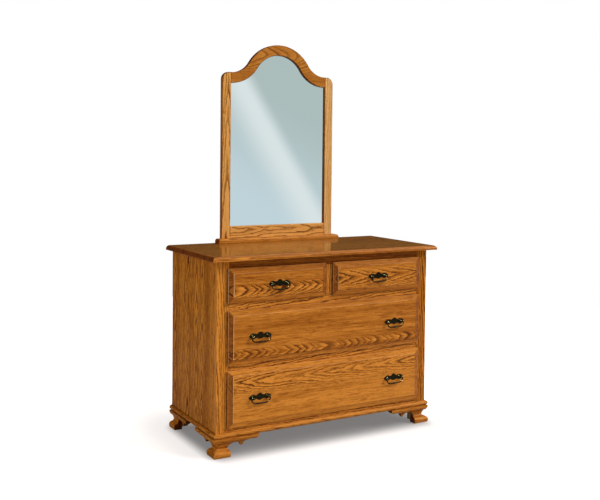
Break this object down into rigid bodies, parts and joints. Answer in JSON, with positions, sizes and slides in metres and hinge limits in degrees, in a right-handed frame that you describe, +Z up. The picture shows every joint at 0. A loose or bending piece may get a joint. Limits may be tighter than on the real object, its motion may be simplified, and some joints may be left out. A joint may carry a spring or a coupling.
{
  "type": "dresser with mirror",
  "caption": "Bedroom dresser with lipped, raised drawer fronts, bail pulls and ogee bracket feet, and a fixed arched mirror standing on its top.",
  "frame": {"origin": "on the floor under the middle of the whole piece, mirror braces included", "axes": "+X to the right as one faces the drawers, +Y from the front to the back, +Z up"},
  "size_m": [1.244, 0.599, 1.9449],
  "materials": {
    "oak": "golden oak, satin lacquer",
    "inner_wood": "plain sanded hardwood",
    "plywood": "thin panel, lightly finished",
    "mirror": "silvered glass",
    "pull_brass": "dark antique brass",
    "steel_screws": "zinc plated"
  },
  "bodies": {
    "case": {"left_side": "oak", "right_side": "oak", "back_panel": "plywood", "left_stile": "oak", "right_stile": "oak", "centre_stile": "oak", "bottom_rail": "oak", "lower_rail": "oak", "upper_rail": "oak", "top_rail": "oak", "top_board": "oak", "bottom_web_frame": "inner_wood", "lower_web_frame": "inner_wood", "upper_web_frame": "inner_wood", "top_web_frame": "inner_wood", "dust_panels": "plywood", "base_front_moulding": "oak", "base_left_moulding": "oak", "base_right_moulding": "oak", "base_back_rail": "inner_wood", "front_left_foot": "oak", "front_right_foot": "oak", "rear_left_foot": "oak", "rear_right_foot": "oak", "foot_blocks": "inner_wood", "mirror_base_strip": "oak", "mirror_left_stile": "oak", "mirror_right_stile": "oak", "mirror_bottom_rail": "oak", "mirror_arch_rail": "oak", "mirror_glass": "mirror", "mirror_back_board": "plywood", "mirror_braces": "inner_wood", "brace_screws": "steel_screws"},
    "upper_left_drawer": {"upper_left_drawer_front": "oak", "upper_left_drawer_sides": "inner_wood", "upper_left_drawer_back": "inner_wood", "upper_left_drawer_bottom": "plywood", "upper_left_drawer_pull_plates": "pull_brass"},
    "upper_left_handle": {"upper_left_bail": "pull_brass"},
    "upper_right_drawer": {"upper_right_drawer_front": "oak", "upper_right_drawer_sides": "inner_wood", "upper_right_drawer_back": "inner_wood", "upper_right_drawer_bottom": "plywood", "upper_right_drawer_pull_plates": "pull_brass"},
    "upper_right_handle": {"upper_right_bail": "pull_brass"},
    "middle_drawer": {"middle_drawer_front": "oak", "middle_drawer_sides": "inner_wood", "middle_drawer_back": "inner_wood", "middle_drawer_bottom": "plywood", "middle_drawer_pull_plates": "pull_brass"},
    "middle_left_handle": {"middle_left_bail": "pull_brass"},
    "middle_right_handle": {"middle_right_bail": "pull_brass"},
    "lower_drawer": {"lower_drawer_front": "oak", "lower_drawer_sides": "inner_wood", "lower_drawer_back": "inner_wood", "lower_drawer_bottom": "plywood", "lower_drawer_pull_plates": "pull_brass"},
    "lower_left_handle": {"lower_left_bail": "pull_brass"},
    "lower_right_handle": {"lower_right_bail": "pull_brass"}
  },
  "joints": [
    {"name": "upper_left_drawer_slide", "type": "slide", "parent": "case", "child": "upper_left_drawer", "axis": [0, -1, 0], "range_m": [0, 0.38]},
    {"name": "upper_left_bail_hinge", "type": "hinge", "parent": "upper_left_drawer", "child": "upper_left_handle", "pos_m": [-0.276, -0.2883, 0.7765], "axis": [-1, 0, 0], "range_deg": [-8, 90]},
    {"name": "upper_right_drawer_slide", "type": "slide", "parent": "case", "child": "upper_right_drawer", "axis": [0, -1, 0], "range_m": [0, 0.38]},
    {"name": "upper_right_bail_hinge", "type": "hinge", "parent": "upper_right_drawer", "child": "upper_right_handle", "pos_m": [0.276, -0.2883, 0.7765], "axis": [-1, 0, 0], "range_deg": [-8, 90]},
    {"name": "middle_drawer_slide", "type": "slide", "parent": "case", "child": "middle_drawer", "axis": [0, -1, 0], "range_m": [0, 0.38]},
    {"name": "middle_left_bail_hinge", "type": "hinge", "parent": "middle_drawer", "child": "middle_left_handle", "pos_m": [-0.375, -0.2883, 0.5415], "axis": [-1, 0, 0], "range_deg": [-8, 90]},
    {"name": "middle_right_bail_hinge", "type": "hinge", "parent": "middle_drawer", "child": "middle_right_handle", "pos_m": [0.375, -0.2883, 0.5415], "axis": [-1, 0, 0], "range_deg": [-8, 90]},
    {"name": "lower_drawer_slide", "type": "slide", "parent": "case", "child": "lower_drawer", "axis": [0, -1, 0], "range_m": [0, 0.38]},
    {"name": "lower_left_bail_hinge", "type": "hinge", "parent": "lower_drawer", "child": "lower_left_handle", "pos_m": [-0.375, -0.2883, 0.259], "axis": [-1, 0, 0], "range_deg": [-8, 90]},
    {"name": "lower_right_bail_hinge", "type": "hinge", "parent": "lower_drawer", "child": "lower_right_handle", "pos_m": [0.375, -0.2883, 0.259], "axis": [-1, 0, 0], "range_deg": [-8, 90]}
  ]
}
